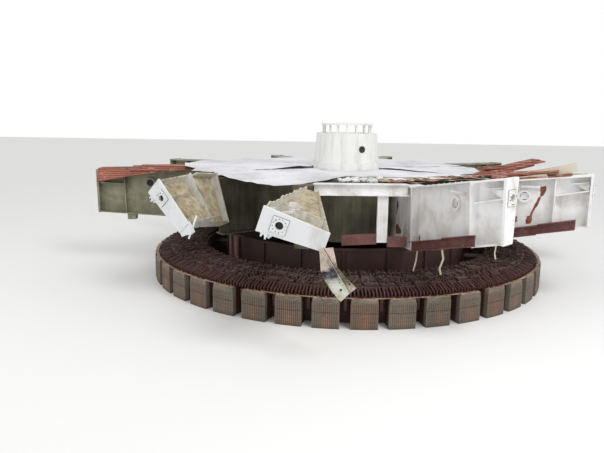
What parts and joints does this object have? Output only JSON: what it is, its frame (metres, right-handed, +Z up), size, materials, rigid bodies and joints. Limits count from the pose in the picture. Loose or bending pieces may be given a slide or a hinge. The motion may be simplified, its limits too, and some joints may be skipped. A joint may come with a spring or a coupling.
{
  "type": "hydroelectric generator rotor with wrecked upper bracket",
  "caption": "Large pole-wheel rotor of a slow hydroelectric generator, cut at the water line, with a broken many-armed upper bracket, deck covers and white cap on its shaft.",
  "frame": {"origin": "on the shaft axis at the foot of the rotor, level with the water line", "axes": "+Z up along the shaft, -Y towards the open side with the broken arms, +X to the right"},
  "size_m": [15.529, 15.6734, 4.53],
  "materials": {
    "shaft_steel": "dull machined steel",
    "hub_paint": "dark red-brown primer, rusty",
    "rim_paint": "dark red-brown varnish with rust and silt",
    "pole_lamination": "laminated steel, rusty orange in patches",
    "coil_varnish": "dark red insulating varnish",
    "pole_plate": "grey-brown plate",
    "damper_copper": "dull tinned copper",
    "cream_paint": "cream paint, grimy and chipped",
    "red_primer": "matt red-brown primer",
    "floor_layers": "torn red-brown floor layers, scuffed",
    "scorched_panel": "scorched cream paint, rusty edges",
    "cover_sheet": "pale grey sheet, scuffed",
    "cap_paint": "white gloss paint"
  },
  "bodies": {
    "bracket": {"guide_bearing": "shaft_steel", "bearing_housing": "cream_paint", "bracket_ribs": "cream_paint", "bracket_drum": "cream_paint", "deck_ring": "cream_paint", "bottom_ring": "cream_paint", "arm_roots": "cream_paint", "front_beam": "cream_paint", "side_beams": "cream_paint", "arm_front_right": "cream_paint", "end_front_right": "cream_paint", "arm_right": "cream_paint", "end_right": "cream_paint", "arm_left": "cream_paint", "end_left": "cream_paint", "arms_back": "cream_paint", "ends_back": "cream_paint", "arm_front": "cream_paint", "end_front": "cream_paint", "arm_front_left": "cream_paint", "end_front_left": "cream_paint", "shield_front_right": "red_primer", "shield_right": "red_primer", "hanging_panel": "scorched_panel", "cover_front": "cover_sheet", "cover_left": "cover_sheet", "cover_right": "cover_sheet", "cover_back": "cover_sheet", "torn_floor": "floor_layers", "loose_angle": "red_primer", "cap_base": "cap_paint", "cap_drum": "cap_paint", "cap_cage": "cap_paint"},
    "rotor": {"rotor_shaft": "shaft_steel", "hub_disc": "hub_paint", "hub_drum": "hub_paint", "spider_arms": "hub_paint", "rim_core": "rim_paint", "rim_segments": "rim_paint", "rim_ribs": "rim_paint", "pole_cores": "pole_lamination", "pole_coils": "coil_varnish", "pole_end_plates": "pole_plate", "damper_segments": "damper_copper", "damper_links": "damper_copper"}
  },
  "joints": [
    {"name": "rotor_spin", "type": "hinge", "parent": "bracket", "child": "rotor", "pos_m": [0, 0, 0], "axis": [0, 0, 1], "continuous": true}
  ]
}
